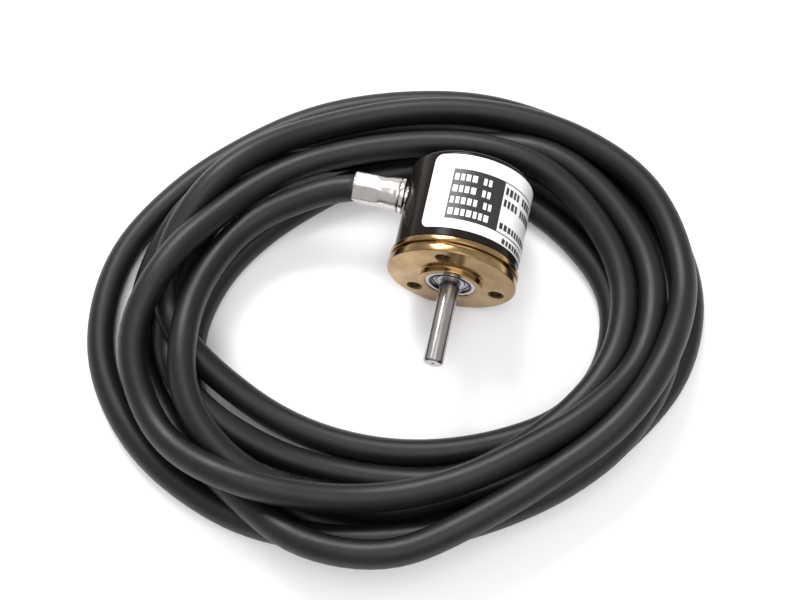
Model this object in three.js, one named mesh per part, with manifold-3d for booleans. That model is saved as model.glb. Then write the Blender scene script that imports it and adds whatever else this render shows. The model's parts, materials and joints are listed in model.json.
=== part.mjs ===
// A miniature rotary shaft encoder lying on its side, with its cable coiled loosely round it.
// Millimetres, +Z up, on the plane z = 0. The shaft points along -Y and the cable leaves along -X.
// Inside the encoder group, y = 0 is the flange's front face and the origin is on the shaft's axis.

import * as THREE from 'three';
import { mergeVertices } from 'three/addons/utils/BufferGeometryUtils.js';
import Module from 'manifold-3d';

const wasm = await Module();
wasm.setup();

// ---- Driving dimensions ----

const fit = 0.03; // radial gap of a close fit
const close = 0.05; // gap between faces that almost touch
const clear = 0.1; // gap between faces that only face each other
const past = 1; // how far a cutter runs past the faces it opens

const flangeRadius = 13;
const frontRimEnd = 1.5;
const servoGrooveEnd = 2.3;
const flangeEnd = 3.4;
const servoGrooveRadius = 12.1;
const rimChamfer = 0.25;
const spigotRadius = 11.5;
const spigotEnd = 6.9;
const spigotChamfer = 0.3;
const bossRadius = 6.4;
const bossFront = -1.2;
const bossChamfer = 0.3;
const counterboreRadius = 5.1;
const hubRadius = 6.4;
const sealSeatRadius = 10.7;
const sealSeatStart = 4.6;
const sealSeatEnd = 5.8;
const sealCordRadius = 0.36;

const mountHoleCircle = 9.75;
const mountHoleRadius = 1.3;
const mountHoleDepth = 4.2;
const mountHoleAngles = [101, 221, 341];

const coverRadius = 12.5;
const coverInside = 11.6;
const coverEnd = 22.8;
const coverWallEnd = 21.6;
const coverEdge = 0.9;
const cableHoleRadius = 2.45;

const bearingOuter = 4.5;
const bearingInner = 2.0;
const bearingWidth = 4;
const ballRadius = 0.65;
const ballCircle = 3.25;
const ballCount = 7;
const raceGrooveRadius = 0.71;
const outerRaceRadius = 3.72;
const innerRaceRadius = 2.78;
const frontBearingStart = -0.6;
const rearBearingStart = 8.9;
const seatShoulder = 3.87; // the bore between the two bearings' seats
const preloadRoom = 0.5;
const shieldInner = 2.9;
const shieldOuter = 3.66;
const shieldRecess = 0.15;
const shieldThickness = 0.2;

const cageInner = 2.95;
const cageOuter = 3.55;
const cageRing = [0.8, 1.15]; // along the axis from the balls' centres
const cagePost = [-0.5, 1];
const cagePostHalfWidth = 0.3;

const shaftRadius = 2;
const shaftTip = -18.1;
const shaftEnd = 16.2;
const tipChamfer = 0.35;
const endChamfer = 0.2;
const clipRadius = 2.7;

const hubStart = 13.2;
const hubEnd = 15.7;
const hubFlangeRadius = 4.9;
const hubNeckRadius = 2.75;
const clampRadius = 4.4;
const clampEnd = 15.4;

const discRadius = 8.8;
const discThickness = 0.5;
const discStart = 14.2;
const trackRadius = 7.8;
const slotLength = 1.4;
const slotCount = 24;
const indexTrackRadius = 6;
const indexSlotLength = 0.9;

const boardRadius = 11.2;
const boardStart = 17.6;
const boardThickness = 1;
const boardNotchWall = -9.6; // where the board is cut back to pass the gland
const boardNotchHalfWidth = 4;
const boardHoleRadius = 0.8;
const standoffCircle = 10;
const standoffRadius = 0.95;
const standoffAngles = [30, 150, 270];
const threadBore = 0.72;
const threadStart = 14.5;
const screwRadius = 0.65;
const screwStart = 14.8;
const screwHeadRadius = 1.15;
const screwHeadHeight = 0.6;
const screwDomeHeight = 0.25;

const opticsHalfWidth = 2.6;
const opticsTop = 10.1;
const ledFront = 11.6;
const ledRadius = 1.3;
const ledRimEnd = 12.5;
const ledDomeRadius = 1.2;
const reticleLow = [-2.4, 15.1, 5.6];
const reticleHigh = [2.4, 15.5, 9.9];
const sensorFront = 15.8;
const sensorBottom = 5.4;
const capacitorRadius = 1.6;
const capacitorHeight = 2.3;
const capacitorPlace = [-3.6, 0, 3.8];

const glandY = 16.2; // the gland's place along the shaft's axis
const collarRadius = 3.8;
const collarChamfer = 0.15;
const collarThickness = 0.9;
const collarGap = 0.3;
const stubBore = 1.6;
const stubRadius = 2.3;
const stubStart = 10.1; // along the gland's own axis, from the shaft's axis
const stubEnd = 20;
const nutRadius = 3.6;
const nutStart = 10.2;
const nutEnd = 11;
const ferruleBore = 2.36;
const ferruleMouthRadius = 3.5;
const ferruleLipRadius = 3.6;
const ferruleLip = 14.3;
const ferruleWaistRadius = 3.45;
const ferruleWaist = 16.6;
const ferruleNeckRadius = 3.1;
const crimpStart = 18.6;
const crimpOverlap = 0.6;
const crimpRadius = 3.3;
const crimpChamfer = 0.25;
const ferruleEnd = 23.4;

const wireRadius = 0.36;
const wireSpread = 0.5; // how far each core lies off the gland's axis, each way
const padPitch = 1.5;
const firstPadZ = 2.25;

const cableRadius = 2.8;
const coilCentre = [-9, -6.3];
const coilOuter = 61;
const coilInner = 40;
const coilSquash = 0.9; // the coil is an oval, shorter along Y
const coilHeight = 16.4;
const coilShoulder = 3;
const leadDrop = 1.4; // how far the cable sinks between the ferrule and the coil
const leadSway = 1.6;

const labelRadius = 12.56;
const labelThickness = 0.12;
const labelStart = 4.9;
const labelEnd = 21.5;
const labelAngles = [-60, 126];

const axisHeight = flangeRadius;

// The origin is under the middle of the encoder's own box, gland and shaft included.
const originX = (flangeRadius - ferruleEnd) / 2;
const originY = (shaftTip + coverEnd) / 2;

// ---- Finishes ----

const finish = (color, roughness, metalness) => () =>
  new THREE.MeshStandardMaterial({ color, roughness, metalness });

const brass = finish(0xb98a3c, 0.3, 1);
const blackEnamel = finish(0x14100e, 0.18, 0.1);
const silverFoil = finish(0xe9e9e6, 0.35, 0.3);
const bearingSteel = finish(0xb9bcc0, 0.22, 1);
const shaftSteel = finish(0x8f8a84, 0.28, 1);
const springSteel = finish(0x8a8c90, 0.3, 1);
const nickel = finish(0xd6d3cc, 0.2, 1);
const rubber = finish(0x17181a, 0.6, 0);
const cableJacket = finish(0x1b1d1c, 0.45, 0);
const cagePlastic = finish(0xc9a06a, 0.5, 0);
const boardGreen = finish(0x1e5b34, 0.45, 0);
const chipBlack = finish(0x1c1c1e, 0.5, 0);
const ceramicTan = finish(0xb59a72, 0.5, 0);
const clearGlass = finish(0xcfe0e6, 0.08, 0);
const wireColors = [0xb02a22, 0x1d1d1f, 0xd9b62a, 0x2d5fae];

// ---- Geometry helpers ----

const radians = THREE.MathUtils.degToRad;

// A profile of [radius, y] points turned about the shaft's axis.
function turned(profile, segments = 24) {
  const points = profile.map(([radius, y]) => new THREE.Vector2(radius, y));
  return new THREE.LatheGeometry(points, segments);
}

// The same, for a profile that is a closed loop clear of the axis.
function turnedRing(profile, segments = 24) {
  return turned([...profile, profile[0]], segments);
}

// A plain ring between two radii and two places along the axis.
function washer(inner, outer, start, end, segments = 24) {
  return turnedRing([[inner, start], [outer, start], [outer, end], [inner, end]], segments);
}

// A plain disc or rod about the axis.
function rod(radius, start, end, segments = 24) {
  return turned([[0, start], [radius, start], [radius, end], [0, end]], segments);
}

// Points on an arc in the profile plane, from one angle to another in degrees.
function arc(centreRadius, centreY, radius, from, to, steps) {
  return Array.from({ length: steps + 1 }, (_, i) => {
    const angle = radians(from + ((to - from) * i) / steps);
    return [centreRadius + radius * Math.cos(angle), centreY + radius * Math.sin(angle)];
  });
}

// A place on a circle about the shaft's axis, seen from the front: 0 is +X and 90 is +Z.
function onCircle(radius, degrees, y = 0) {
  const angle = radians(degrees);
  return new THREE.Vector3(radius * Math.cos(angle), y, radius * Math.sin(angle));
}

function box(low, high) {
  const size = low.map((value, i) => high[i] - value);
  const geometry = new THREE.BoxGeometry(...size);
  return geometry.translate(...low.map((value, i) => value + size[i] / 2));
}

// A geometry as a solid that can be cut or joined.
function solid(geometry) {
  const bare = geometry.clone();
  bare.deleteAttribute('normal');
  bare.deleteAttribute('uv');
  const merged = mergeVertices(bare, 1e-4);
  const corners = merged.index.array;
  const kept = [];
  for (let i = 0; i < corners.length; i += 3) {
    const [a, b, c] = corners.slice(i, i + 3);
    if (a !== b && b !== c && c !== a) kept.push(a, b, c);
  }
  return new wasm.Manifold(new wasm.Mesh({
    numProp: 3,
    vertProperties: new Float32Array(merged.attributes.position.array),
    triVerts: new Uint32Array(kept),
  }));
}

function surface(body) {
  const mesh = body.getMesh();
  const geometry = new THREE.BufferGeometry();
  geometry.setAttribute('position', new THREE.BufferAttribute(mesh.vertProperties.slice(), 3));
  geometry.setIndex(new THREE.BufferAttribute(mesh.triVerts.slice(), 1));
  geometry.computeVertexNormals();
  return geometry;
}

function cut(geometry, tools) {
  return surface(tools.map(solid).reduce((body, tool) => body.subtract(tool), solid(geometry)));
}

function join(geometries) {
  return surface(geometries.map(solid).reduce((body, other) => body.add(other)));
}

// A round tube along a smooth curve through the given points.
function tube(points, radius, steps, sides) {
  const section = new THREE.Shape();
  section.absarc(0, 0, radius, 0, Math.PI * 2, false);
  const curve = new THREE.CatmullRomCurve3(points.map((point) => new THREE.Vector3(...point)));
  return new THREE.ExtrudeGeometry(section, {
    steps,
    curveSegments: sides / 2,
    bevelEnabled: false,
    extrudePath: curve,
  });
}

const model = new THREE.Group();
const encoder = new THREE.Group();
const cable = new THREE.Group();
encoder.position.set(-originX, -originY, axisHeight);
cable.position.set(-originX, -originY, 0);
model.add(encoder, cable);

function place(group, name, geometry, material, position = [0, 0, 0]) {
  const mesh = new THREE.Mesh(geometry, material());
  mesh.name = name;
  mesh.position.set(...position);
  group.add(mesh);
  return mesh;
}

// ---- Flange and housing ----

function flangeGeometry() {
  const seat = bearingOuter + fit;
  const counterboreFloor = frontBearingStart - clear;
  const frontSeatEnd = frontBearingStart + bearingWidth + fit;
  const rearSeatStart = rearBearingStart - preloadRoom;
  const rearSeatEnd = rearBearingStart + bearingWidth;
  const body = turnedRing([
    [counterboreRadius, bossFront],
    [bossRadius - bossChamfer, bossFront],
    [bossRadius, bossFront + bossChamfer],
    [bossRadius, 0],
    [flangeRadius - rimChamfer, 0],
    [flangeRadius, rimChamfer],
    [flangeRadius, frontRimEnd],
    [servoGrooveRadius, frontRimEnd],
    [servoGrooveRadius, servoGrooveEnd],
    [flangeRadius, servoGrooveEnd],
    [flangeRadius, flangeEnd],
    [spigotRadius, flangeEnd],
    [spigotRadius, sealSeatStart],
    [sealSeatRadius, sealSeatStart],
    [sealSeatRadius, sealSeatEnd],
    [spigotRadius, sealSeatEnd],
    [spigotRadius, spigotEnd - spigotChamfer],
    [spigotRadius - spigotChamfer, spigotEnd],
    [hubRadius, spigotEnd],
    [hubRadius, rearSeatEnd],
    [seat, rearSeatEnd],
    [seat, rearSeatStart],
    [seatShoulder, rearSeatStart],
    [seatShoulder, frontSeatEnd],
    [seat, frontSeatEnd],
    [seat, counterboreFloor],
    [counterboreRadius, counterboreFloor],
  ], 36);
  const holes = mountHoleAngles.map((angle) => {
    const at = onCircle(mountHoleCircle, angle);
    return rod(mountHoleRadius, -past, mountHoleDepth, 12).translate(at.x, 0, at.z);
  });
  return cut(body, holes);
}

function coverGeometry() {
  const shell = turned([
    [0, coverWallEnd],
    [coverInside, coverWallEnd],
    [coverInside, flangeEnd + clear],
    [coverRadius, flangeEnd + clear],
    ...arc(coverRadius - coverEdge, coverEnd - coverEdge, coverEdge, 0, 90, 3),
    [0, coverEnd],
  ], 36);
  const opening = rod(cableHoleRadius, -2 * past, 2 * past, 16);
  return cut(shell, [opening.rotateZ(Math.PI / 2).translate(-coverRadius, glandY, 0)]);
}

// A thin sheet bent round the cover, with its long edges along the axis.
function labelGeometry() {
  const outline = new THREE.Shape();
  const [low, high] = labelAngles.map(radians);
  outline.absarc(0, 0, labelRadius + labelThickness, low, high, false);
  outline.absarc(0, 0, labelRadius, high, low, true);
  const sheet = new THREE.ExtrudeGeometry(outline, {
    depth: labelEnd - labelStart,
    curveSegments: 12,
    bevelEnabled: false,
  });
  return sheet.rotateX(Math.PI / 2).translate(0, labelEnd, 0);
}

// A rubber cord lying in the spigot's groove.
function sealGeometry() {
  const ringRadius = sealSeatRadius + sealCordRadius + fit;
  const middle = (sealSeatStart + sealSeatEnd) / 2;
  return turnedRing(arc(ringRadius, middle, sealCordRadius, 0, 300, 5), 28);
}

place(encoder, 'flange', flangeGeometry(), brass);
place(encoder, 'housing_cover', coverGeometry(), blackEnamel);
place(encoder, 'data_label', labelGeometry(), silverFoil);
place(encoder, 'cover_seal', sealGeometry(), rubber);

// ---- Bearings: a fixed outer ring, an inner ring on the shaft, balls and a cage ----

// A ring's rectangle with the ball groove let into its inner or outer side.
function raceGeometry(start, inner, outer, grooveInside) {
  const end = start + bearingWidth;
  const middle = start + bearingWidth / 2;
  const wall = grooveInside ? inner : outer;
  const half = THREE.MathUtils.radToDeg(Math.acos(Math.abs(wall - ballCircle) / raceGrooveRadius));
  if (grooveInside) {
    const groove = arc(ballCircle, middle, raceGrooveRadius, half, -half, 3);
    return turnedRing([[inner, start], [outer, start], [outer, end], [inner, end], ...groove], 28);
  }
  const groove = arc(ballCircle, middle, raceGrooveRadius, 180 + half, 180 - half, 4);
  return turnedRing([[inner, start], [outer, start], ...groove, [outer, end], [inner, end]], 32);
}

// A crown cage: a thin ring beside the balls with one post standing between each two of them.
function cageGeometry(middle) {
  const [ringStart, ringEnd] = cageRing.map((along) => middle + along);
  const [postStart, postEnd] = cagePost.map((along) => middle + along);
  const ring = washer(cageInner, cageOuter, ringStart, ringEnd, 3 * ballCount);
  const posts = Array.from({ length: ballCount }, (_, i) => {
    const post = box(
      [cageInner + fit, postStart, -cagePostHalfWidth],
      [cageOuter - fit, postEnd, cagePostHalfWidth],
    );
    return post.rotateY(-radians(((i + 0.5) * 360) / ballCount));
  });
  return join([ring, ...posts]);
}

function addBearing(name, start) {
  const middle = start + bearingWidth / 2;
  place(
    encoder,
    `${name}_outer_ring`,
    raceGeometry(start, outerRaceRadius, bearingOuter, true),
    bearingSteel,
  );
  place(
    encoder,
    `${name}_inner_ring`,
    raceGeometry(start, bearingInner + fit, innerRaceRadius, false),
    bearingSteel,
  );
  place(encoder, `${name}_cage`, cageGeometry(middle), cagePlastic);
  for (let i = 0; i < ballCount; i += 1) {
    const at = onCircle(ballCircle, (i * 360) / ballCount, middle);
    const ball = new THREE.IcosahedronGeometry(ballRadius, 1);
    place(encoder, `${name}_ball_${i + 1}`, ball, bearingSteel, at.toArray());
  }
}

addBearing('front', frontBearingStart);
addBearing('rear', rearBearingStart);

const frontShieldStart = frontBearingStart + shieldRecess;
const rearShieldEnd = rearBearingStart + bearingWidth - shieldRecess;
place(
  encoder,
  'front_shield',
  washer(shieldInner, shieldOuter, frontShieldStart, frontShieldStart + shieldThickness),
  springSteel,
);
place(
  encoder,
  'rear_shield',
  washer(shieldInner, shieldOuter, rearShieldEnd - shieldThickness, rearShieldEnd),
  springSteel,
);
place(
  encoder,
  'preload_washer',
  washer(
    seatShoulder + close,
    bearingOuter - close,
    rearBearingStart - preloadRoom + clear,
    rearBearingStart - clear,
  ),
  springSteel,
);

// ---- Shaft and code disc, which turn together ----

const rotorBore = shaftRadius + fit;
const clampStart = discStart + discThickness + close;
place(
  encoder,
  'shaft',
  turned([
    [0, shaftTip],
    [shaftRadius - tipChamfer, shaftTip],
    [shaftRadius, shaftTip + tipChamfer],
    [shaftRadius, shaftEnd - endChamfer],
    [shaftRadius - endChamfer, shaftEnd],
    [0, shaftEnd],
  ]),
  shaftSteel,
);
place(
  encoder,
  'ring_spacer',
  washer(
    rotorBore,
    innerRaceRadius - clear,
    frontBearingStart + bearingWidth + close,
    rearBearingStart - close,
  ),
  nickel,
);
place(
  encoder,
  'shaft_clip',
  washer(rotorBore, clipRadius, rearBearingStart + bearingWidth + close, hubStart - close),
  springSteel,
);
place(
  encoder,
  'disc_hub',
  turnedRing([
    [rotorBore, hubStart],
    [hubFlangeRadius, hubStart],
    [hubFlangeRadius, discStart - close],
    [hubNeckRadius, discStart - close],
    [hubNeckRadius, hubEnd],
    [rotorBore, hubEnd],
  ]),
  nickel,
);
place(encoder, 'disc_clamp', washer(hubNeckRadius + fit, clampRadius, clampStart, clampEnd), nickel);

// A thin disc with a ring of radial slots and one index slot further in.
function codeDiscGeometry() {
  const outline = new THREE.Shape();
  outline.absarc(0, 0, discRadius, 0, Math.PI * 2, false);
  const slot = (middle, length, angle, width) => {
    const hole = new THREE.Path();
    const corners = [[-1, -1], [1, -1], [1, 1], [-1, 1]].map(([along, across]) => {
      const point = new THREE.Vector2(middle + (along * length) / 2, (across * width) / 2);
      return point.rotateAround(new THREE.Vector2(), angle);
    });
    hole.setFromPoints(corners);
    return hole;
  };
  const bore = new THREE.Path();
  bore.absarc(0, 0, hubNeckRadius + fit, 0, Math.PI * 2, true);
  outline.holes.push(bore);
  const pitch = (Math.PI * 2) / slotCount;
  const slotWidth = (pitch * trackRadius) / 2;
  for (let i = 0; i < slotCount; i += 1) {
    outline.holes.push(slot(trackRadius, slotLength, i * pitch, slotWidth));
  }
  outline.holes.push(slot(indexTrackRadius, indexSlotLength, Math.PI / 2, slotWidth));
  const disc = new THREE.ExtrudeGeometry(outline, {
    depth: discThickness,
    curveSegments: 14,
    bevelEnabled: false,
  });
  return disc.rotateX(Math.PI / 2).translate(0, discStart + discThickness, 0);
}
place(encoder, 'code_disc', codeDiscGeometry(), springSteel);

// ---- Optics and electronics ----

const boardEnd = boardStart + boardThickness;

function boardGeometry() {
  const plate = rod(boardRadius, boardStart, boardEnd, 28);
  const holes = standoffAngles.map((angle) => {
    const at = onCircle(standoffCircle, angle);
    return rod(boardHoleRadius, boardStart - past, boardEnd + past, 12).translate(at.x, 0, at.z);
  });
  const glandNotch = box(
    [-boardRadius - past, boardStart - past, -boardNotchHalfWidth],
    [boardNotchWall, boardEnd + past, boardNotchHalfWidth],
  );
  return cut(plate, [...holes, glandNotch]);
}
place(encoder, 'main_board', boardGeometry(), boardGreen);

const standoffStart = spigotEnd + close;
const standoffEnd = boardStart - close;
const screwHeadStart = boardEnd + close;
const screwHeadEnd = screwHeadStart + screwHeadHeight;
standoffAngles.forEach((angle, i) => {
  const at = onCircle(standoffCircle, angle).toArray();
  place(
    encoder,
    `standoff_${i + 1}`,
    turned([
      [0, standoffStart],
      [standoffRadius, standoffStart],
      [standoffRadius, standoffEnd],
      [threadBore, standoffEnd],
      [threadBore, threadStart],
      [0, threadStart],
    ], 12),
    nickel,
    at,
  );
  place(
    encoder,
    `board_screw_${i + 1}`,
    turned([
      [0, screwStart],
      [screwRadius, screwStart],
      [screwRadius, screwHeadStart],
      [screwHeadRadius, screwHeadStart],
      [screwHeadRadius, screwHeadEnd],
      [screwHeadRadius - screwDomeHeight, screwHeadEnd + screwDomeHeight],
      [0, screwHeadEnd + screwDomeHeight],
    ], 12),
    springSteel,
    at,
  );
});

place(
  encoder,
  'led_holder',
  box([-opticsHalfWidth, standoffStart, hubRadius + clear], [opticsHalfWidth, ledFront - close, opticsTop]),
  chipBlack,
);
place(
  encoder,
  'led_emitter',
  turned([
    [0, ledFront],
    [ledRadius, ledFront],
    [ledRadius, ledRimEnd],
    ...arc(0, ledRimEnd, ledDomeRadius, 0, 90, 4),
  ], 16),
  clearGlass,
  [0, 0, trackRadius],
);
place(encoder, 'reticle_plate', box(reticleLow, reticleHigh), clearGlass);
place(
  encoder,
  'photo_sensor',
  box([-opticsHalfWidth, sensorFront, sensorBottom], [opticsHalfWidth, standoffEnd, opticsTop]),
  chipBlack,
);

// Flat parts on the board's rear face: a name, two opposite corners in X and Z, a height, a finish.
const flatParts = [
  ['line_driver', [-1, -6.5], [4, -1.8], 1.5, chipBlack],
  ['voltage_regulator', [2.6, 1.2], [6.2, 4.6], 1.4, chipBlack],
  ['chip_capacitor', [-6.6, -3.4], [-4.6, -2.2], 0.8, ceramicTan],
  ['chip_resistor', [-6.6, -0.6], [-4.6, 0.6], 0.5, chipBlack],
];
flatParts.forEach(([name, [lowX, lowZ], [highX, highZ], height, material]) => {
  const body = box([lowX, screwHeadStart, lowZ], [highX, screwHeadStart + height, highZ]);
  place(encoder, name, body, material);
});
place(
  encoder,
  'filter_capacitor',
  rod(capacitorRadius, screwHeadStart, screwHeadStart + capacitorHeight, 20),
  nickel,
  capacitorPlace,
);

// ---- Gland and crimp ferrule on the housing's side ----

// Profiles here run along the gland's own axis, outwards from the shaft's axis.
function alongGland(geometry) {
  return geometry.rotateZ(Math.PI / 2).translate(0, glandY, 0);
}

const collarStart = coverRadius + collarGap;
const collarEnd = collarStart + collarThickness;
place(
  encoder,
  'gland_stub',
  alongGland(turnedRing([
    [stubBore, stubStart],
    [stubRadius, stubStart],
    [stubRadius, collarStart],
    [collarRadius - collarChamfer, collarStart],
    [collarRadius, collarStart + collarChamfer],
    [collarRadius, collarEnd],
    [stubRadius, collarEnd],
    [stubRadius, stubEnd],
    [stubBore, stubEnd],
  ], 24)),
  nickel,
);
const nutBore = rod(ferruleBore, nutStart - past, nutEnd + past, 24);
place(encoder, 'gland_nut', alongGland(cut(rod(nutRadius, nutStart, nutEnd, 6), [nutBore])), nickel);

// The ferrule is round beside the collar, and squeezed to a hexagon where it grips the cable.
function ferruleGeometry() {
  const mouth = collarEnd + clear;
  const round = turned([
    [0, mouth],
    [ferruleMouthRadius, mouth],
    [ferruleLipRadius, ferruleLip],
    [ferruleWaistRadius, ferruleWaist],
    [ferruleNeckRadius, crimpStart],
    [0, crimpStart],
  ], 24);
  const hexagon = turned([
    [0, crimpStart - crimpOverlap],
    [crimpRadius, crimpStart - crimpOverlap],
    [crimpRadius, ferruleEnd - crimpChamfer],
    [crimpRadius - crimpChamfer, ferruleEnd],
    [0, ferruleEnd],
  ], 6);
  const body = join([round, hexagon.rotateY(radians(15))]);
  return cut(body, [rod(ferruleBore, mouth - past, ferruleEnd + past, 24)]);
}
place(encoder, 'crimp_ferrule', alongGland(ferruleGeometry()), nickel);

// Four cores from the cable, through the stub's bore, to a row of pads on the board.
wireColors.forEach((color, i) => {
  const inBoreY = glandY + (i % 2 ? wireSpread : -wireSpread);
  const inBoreZ = i < 2 ? wireSpread : -wireSpread;
  const bendX = i % 2 ? -8.4 : -6.8;
  const padZ = firstPadZ - padPitch * i;
  const route = [
    [-22.6, inBoreY, inBoreZ],
    [-16, inBoreY, inBoreZ],
    [-10.4, inBoreY, inBoreZ],
    [bendX - 0.9, inBoreY + 0.05, (inBoreZ + padZ) / 2],
    [bendX, inBoreY + 0.4, padZ],
    [bendX + 0.2, boardStart - clear, padZ],
  ];
  place(encoder, `lead_wire_${i + 1}`, tube(route, wireRadius, 14, 8), finish(color, 0.5, 0));
});

// ---- Cable: a short lead, then a coil that rests on the floor ----

const [coilX, coilY] = coilCentre;
const acrossCoil = (glandY - coilY) / (coilInner * coilSquash);
const coilWallAtGland = coilX - coilInner * Math.sqrt(1 - acrossCoil ** 2);
place(
  cable,
  'cable_lead',
  tube([
    [-ferruleEnd - 0.3, glandY, axisHeight],
    [-ferruleEnd - 6, glandY - leadSway / 8, axisHeight - leadDrop / 7],
    [coilWallAtGland + 8, glandY - leadSway / 2, axisHeight - leadDrop / 2],
    [coilWallAtGland + 2.6, glandY - leadSway, axisHeight - leadDrop],
  ], cableRadius, 10, 10),
  cableJacket,
);

const coil = turnedRing([
  [coilInner + coilShoulder, 0],
  [coilOuter - coilShoulder, 0],
  [coilOuter, coilShoulder],
  [coilOuter, coilHeight - 2 * coilShoulder],
  [coilOuter - 2 * coilShoulder, coilHeight],
  [coilInner + coilShoulder, coilHeight],
  [coilInner, coilHeight - coilShoulder],
  [coilInner, coilShoulder],
], 40);
coil.rotateX(Math.PI / 2).scale(1, coilSquash, 1);
place(cable, 'cable_coil', coil, cableJacket, [coilX, coilY, 0]);

export default model;
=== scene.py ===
"""A miniature rotary encoder lying on a pale table, with its cable loosely coiled round it.

Everything is worked out in millimetres and made in metres. "Local" points are in the encoder's
own frame: the shaft's axis is the line x = z = 0, the shaft points to -Y, and y = 0 is the
flange's mounting face.
"""

import json
import math
import random

import bmesh
import bpy
import numpy as np
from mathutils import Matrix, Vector


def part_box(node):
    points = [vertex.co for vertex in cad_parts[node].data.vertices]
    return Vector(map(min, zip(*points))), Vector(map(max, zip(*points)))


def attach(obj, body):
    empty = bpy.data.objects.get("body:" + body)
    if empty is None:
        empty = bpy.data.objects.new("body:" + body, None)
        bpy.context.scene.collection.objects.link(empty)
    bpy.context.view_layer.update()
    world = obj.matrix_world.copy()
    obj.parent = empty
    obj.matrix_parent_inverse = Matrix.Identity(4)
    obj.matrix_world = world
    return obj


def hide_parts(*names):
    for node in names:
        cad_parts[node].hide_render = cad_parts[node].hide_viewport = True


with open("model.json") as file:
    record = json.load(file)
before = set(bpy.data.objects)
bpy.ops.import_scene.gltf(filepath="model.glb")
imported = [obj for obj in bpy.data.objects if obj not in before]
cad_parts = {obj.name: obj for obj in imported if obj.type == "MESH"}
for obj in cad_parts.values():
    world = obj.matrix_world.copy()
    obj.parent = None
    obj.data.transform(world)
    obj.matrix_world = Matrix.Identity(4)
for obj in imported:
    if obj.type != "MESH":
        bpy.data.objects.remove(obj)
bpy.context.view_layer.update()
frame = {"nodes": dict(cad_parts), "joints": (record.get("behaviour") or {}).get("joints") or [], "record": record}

MM = 0.001
scene = bpy.context.scene

# ---- Places taken from the frame, in millimetres ----

axis_point = Vector(frame["joints"][0]["pos_m"]) / MM
face_y = next(m["pos_m"][1] for m in frame["record"]["mounts"] if m["name"] == "flange_face") / MM
LOCAL = Vector((axis_point.x, face_y, axis_point.z))
ORIGIN = Vector((0, 0, 0))


def local_box(node):
    """A node's lowest and highest corners, in local millimetres."""
    return [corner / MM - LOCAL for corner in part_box(node)]


flange_low, flange_high = local_box("flange")
cover_low, cover_high = local_box("housing_cover")
shaft_low, shaft_high = local_box("shaft")
label_low, label_high = local_box("data_label")
gland_low, gland_high = local_box("gland_stub")
ferrule_low, ferrule_high = local_box("crimp_ferrule")
ring_low, ring_high = local_box("front_outer_ring")
inner_low, inner_high = local_box("front_inner_ring")
shield_low, shield_high = local_box("front_shield")

FLANGE_R = flange_high.x
COVER_R = cover_high.x
SHAFT_R = shaft_high.x
GLAND_Y = (gland_low.y + gland_high.y) / 2
CABLE_R = 2.8

# ---- Camera ----

TARGET = Vector((-3.8, -8.7, 13.0))
AZIMUTH = math.radians(12.1)
ELEVATION = math.radians(67.2)
DISTANCE = 296.2
LENS = 67.5
towards_camera = Vector((
    math.sin(AZIMUTH) * math.cos(ELEVATION),
    -math.cos(AZIMUTH) * math.cos(ELEVATION),
    math.sin(ELEVATION),
))


def add_camera():
    data = bpy.data.cameras.new("camera")
    data.lens = LENS
    data.sensor_width = 36
    data.clip_start = 0.01
    data.clip_end = 20
    camera = bpy.data.objects.new("camera", data)
    scene.collection.objects.link(camera)
    camera.location = (TARGET + towards_camera * DISTANCE) * MM
    camera.rotation_mode = "QUATERNION"
    camera.rotation_quaternion = (-towards_camera).to_track_quat("-Z", "Y")
    scene.camera = camera


add_camera()

# ---- Mesh tools ----

SHARP_DEGREES = 40
MERGE_METRES = 1e-7


def mark_sharp(work, degrees):
    """Shades a bmesh smooth, except at open edges and at edges that bend more than this."""
    limit = math.radians(degrees)
    for face in work.faces:
        face.smooth = True
    for edge in work.edges:
        edge.smooth = len(edge.link_faces) == 2 and edge.calc_face_angle(0) < limit


def add_mesh(
    name, vertices, faces, materials, origin=LOCAL, sharp_degrees=SHARP_DEGREES, face_material=None
):
    """A shown object from points in millimetres about origin, smooth except at sharp edges."""
    mesh = bpy.data.meshes.new(name)
    mesh.from_pydata([(origin + Vector(v)) * MM for v in vertices], [], faces)
    for used in materials:
        mesh.materials.append(used)
    if face_material is not None:
        mesh.polygons.foreach_set("material_index", face_material)
    work = bmesh.new()
    work.from_mesh(mesh)
    bmesh.ops.remove_doubles(work, verts=work.verts, dist=MERGE_METRES)
    bmesh.ops.recalc_face_normals(work, faces=work.faces)
    mark_sharp(work, sharp_degrees)
    work.to_mesh(mesh)
    work.free()
    made = bpy.data.objects.new(name, mesh)
    scene.collection.objects.link(made)
    return made


def ride(piece, body, slot, *stands_for):
    """Puts a piece on a body, and hides the CAD nodes that it stands for. The slot is not used."""
    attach(piece, body)
    if stands_for:
        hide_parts(*stands_for)


def rounded(points, radius, steps=4, closed=True):
    """An outline with its corners rounded; each takes at most 0.4 of its shorter side."""
    points = [np.array(p, float) for p in points]
    out = []
    for i, corner in enumerate(points):
        if not closed and i in (0, len(points) - 1):
            out.append(corner)
            continue
        before, after = points[i - 1] - corner, points[(i + 1) % len(points)] - corner
        reach = min(radius, 0.4 * np.linalg.norm(before), 0.4 * np.linalg.norm(after))
        start = corner + before / np.linalg.norm(before) * reach
        end = corner + after / np.linalg.norm(after) * reach
        for t in np.linspace(0, 1, steps + 1):
            out.append((1 - t) ** 2 * start + 2 * t * (1 - t) * corner + t**2 * end)
    return out


def ring_faces(rings, sides, closed):
    """Faces between rings of vertices in a row; closed joins the last ring to the first."""
    faces = []
    for i in range(rings if closed else rings - 1):
        here, beside = i * sides, ((i + 1) % rings) * sides
        for k in range(sides):
            after = (k + 1) % sides
            faces.append((here + k, here + after, beside + after, beside + k))
    return faces


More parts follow.
